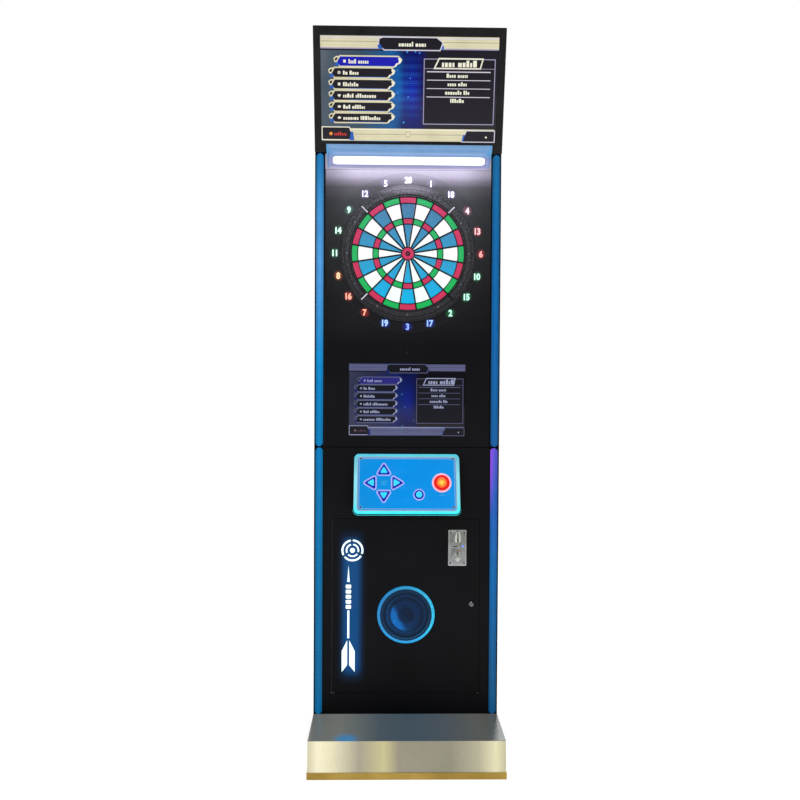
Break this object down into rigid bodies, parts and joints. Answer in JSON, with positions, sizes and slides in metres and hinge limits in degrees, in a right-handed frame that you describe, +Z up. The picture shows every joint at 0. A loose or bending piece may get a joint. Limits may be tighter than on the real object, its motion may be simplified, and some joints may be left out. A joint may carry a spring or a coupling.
{
  "type": "electronic darts machine",
  "caption": "Tall free-standing electronic dartboard machine: lit target, screens, button desk, coin door and steel foot.",
  "frame": {"origin": "on the floor, under the centre of the whole machine's box", "axes": "+Z up, +X to the player's right, the player stands on the -Y side"},
  "size_m": [0.6536, 0.6, 2.484],
  "materials": {
    "cabinet_steel": "fine textured black powder coat",
    "base_steel": "black painted floor plate",
    "black_plastic": "matte moulded",
    "electronics": null,
    "gloss_black": "gloss black enamel",
    "screen": "lit display behind clear cover",
    "camera_glass": "small camera lens",
    "light_pipe": "frosted light pipe lit blue",
    "hood_blue": "blue enamel lit from inside",
    "tube_white": "lit diffuser tube",
    "board_black": "moulded lattice",
    "catch_rubber": "textured foam and plastic ring",
    "smoked_clear": "smoked acrylic with lit numbers",
    "segment_white": "back-lit segment",
    "segment_green": "back-lit segment",
    "segment_blue": "back-lit segment",
    "segment_pink": "back-lit segment",
    "bull_dark": "dark centre",
    "circuit_board": "sensor board",
    "edge_light": "edge-lit acrylic",
    "desk_blue": "printed blue plate",
    "cap_blue": "lit translucent cap",
    "cap_red": "lit translucent cap",
    "zinc": "satin zinc",
    "grille_black": "perforated black",
    "sign_white": "lit acrylic behind stencil cut-outs",
    "stainless": "brushed stainless",
    "brass_trim": "brushed brass",
    "wheel_rubber": "solid rubber tyre"
  },
  "bodies": {
    "root": {"base_cover": "stainless", "base_plate": "base_steel", "base_trim": "brass_trim", "coin_box": "zinc", "computer": "electronics", "control_box": "cabinet_steel", "control_light_frame": "edge_light", "control_plate": "desk_blue", "display_housing": "gloss_black", "display_rear_cover": "black_plastic", "led_strip_lower_left": "light_pipe", "led_strip_lower_right": "light_pipe", "led_strip_upper_left": "light_pipe", "led_strip_upper_right": "light_pipe", "light_hood": "hood_blue", "light_tube": "tube_white", "lower_fascia": "cabinet_steel", "lower_hinge_pin": "zinc", "mid_shelf": "cabinet_steel", "power_inlet": "black_plastic", "power_supply": "electronics", "rear_panel": "cabinet_steel", "side_panel_left": "cabinet_steel", "side_panel_right": "cabinet_steel", "top_panel": "cabinet_steel", "upper_fascia": "cabinet_steel", "upper_hinge_pin": "zinc", "upper_screen": "screen", "wheel_axle": "zinc"},
    "inner_single_ring": {"inner_single_segments": "segment_white"},
    "treble_ring": {"treble_segments": "segment_green"},
    "outer_single_ring": {"outer_single_segments": "segment_blue"},
    "double_ring": {"double_segments": "segment_pink"},
    "outer_bull": {"outer_bull": "segment_pink"},
    "inner_bull": {"inner_bull": "bull_dark"},
    "button_up": {"button_up": "cap_blue"},
    "button_down": {"button_down": "cap_blue"},
    "button_left": {"button_left": "cap_blue"},
    "button_right": {"button_right": "cap_blue"},
    "select_button": {"select_button": "cap_blue"},
    "start_button": {"start_button": "cap_red"},
    "reject_button": {"reject_button": "zinc"},
    "lock_plug": {"lock_plug": "zinc"},
    "wheel_left": {"wheel_left": "wheel_rubber"},
    "wheel_right": {"wheel_right": "wheel_rubber"},
    "target_door": {"target_door": "cabinet_steel", "lower_screen": "screen", "camera_lens": "camera_glass", "spider": "board_black", "catch_ring": "catch_rubber", "number_ring": "smoked_clear", "sensor_board": "circuit_board"},
    "service_door": {"service_door": "cabinet_steel", "sign_lens": "sign_white", "speaker_light_ring": "edge_light", "speaker_grille": "grille_black", "speaker_driver": "black_plastic", "coin_faceplate": "zinc", "coin_mechanism": "electronics", "lock_barrel": "zinc"}
  },
  "joints": [
    {"name": "target_door_hinge", "type": "hinge", "parent": "root", "child": "target_door", "pos_m": [-0.2892, -0.072, 1.551], "axis": [0, 0, -1], "range_deg": [0, 95]},
    {"name": "service_door_hinge", "type": "hinge", "parent": "root", "child": "service_door", "pos_m": [-0.2608, -0.072, 0.5055], "axis": [0, 0, -1], "range_deg": [0, 110]},
    {"name": "lock_turn", "type": "hinge", "parent": "service_door", "child": "lock_plug", "pos_m": [0.2305, -0.072, 0.5121], "axis": [0, -1, 0], "range_deg": [0, 90]},
    {"name": "up_press", "type": "slide", "parent": "root", "child": "button_up", "axis": [0, 0.9399, -0.3414], "range_m": [0, 0.003], "stiffness_N_per_m": 400},
    {"name": "down_press", "type": "slide", "parent": "root", "child": "button_down", "axis": [0, 0.9399, -0.3414], "range_m": [0, 0.003], "stiffness_N_per_m": 400},
    {"name": "left_press", "type": "slide", "parent": "root", "child": "button_left", "axis": [0, 0.9399, -0.3414], "range_m": [0, 0.003], "stiffness_N_per_m": 400},
    {"name": "right_press", "type": "slide", "parent": "root", "child": "button_right", "axis": [0, 0.9399, -0.3414], "range_m": [0, 0.003], "stiffness_N_per_m": 400},
    {"name": "select_press", "type": "slide", "parent": "root", "child": "select_button", "axis": [0, 0.9399, -0.3414], "range_m": [0, 0.003], "stiffness_N_per_m": 400},
    {"name": "start_press", "type": "slide", "parent": "root", "child": "start_button", "axis": [0, 0.9399, -0.3414], "range_m": [0, 0.003], "stiffness_N_per_m": 400},
    {"name": "reject_press", "type": "slide", "parent": "service_door", "child": "reject_button", "axis": [0, 1, 0], "range_m": [0, 0.003], "stiffness_N_per_m": 300},
    {"name": "inner_single_ring_press", "type": "slide", "parent": "target_door", "child": "inner_single_ring", "axis": [0, 1, 0], "range_m": [0, 0.0015], "stiffness_N_per_m": 1500},
    {"name": "treble_ring_press", "type": "slide", "parent": "target_door", "child": "treble_ring", "axis": [0, 1, 0], "range_m": [0, 0.0015], "stiffness_N_per_m": 1500},
    {"name": "outer_single_ring_press", "type": "slide", "parent": "target_door", "child": "outer_single_ring", "axis": [0, 1, 0], "range_m": [0, 0.0015], "stiffness_N_per_m": 1500},
    {"name": "double_ring_press", "type": "slide", "parent": "target_door", "child": "double_ring", "axis": [0, 1, 0], "range_m": [0, 0.0015], "stiffness_N_per_m": 1500},
    {"name": "outer_bull_press", "type": "slide", "parent": "target_door", "child": "outer_bull", "axis": [0, 1, 0], "range_m": [0, 0.0015], "stiffness_N_per_m": 400},
    {"name": "inner_bull_press", "type": "slide", "parent": "target_door", "child": "inner_bull", "axis": [0, 1, 0], "range_m": [0, 0.0015], "stiffness_N_per_m": 400},
    {"name": "wheel_left_spin", "type": "hinge", "parent": "root", "child": "wheel_left", "pos_m": [-0.29, 0.272, 0.028], "axis": [1, 0, 0], "continuous": true},
    {"name": "wheel_right_spin", "type": "hinge", "parent": "root", "child": "wheel_right", "pos_m": [0.29, 0.272, 0.028], "axis": [1, 0, 0], "continuous": true}
  ]
}
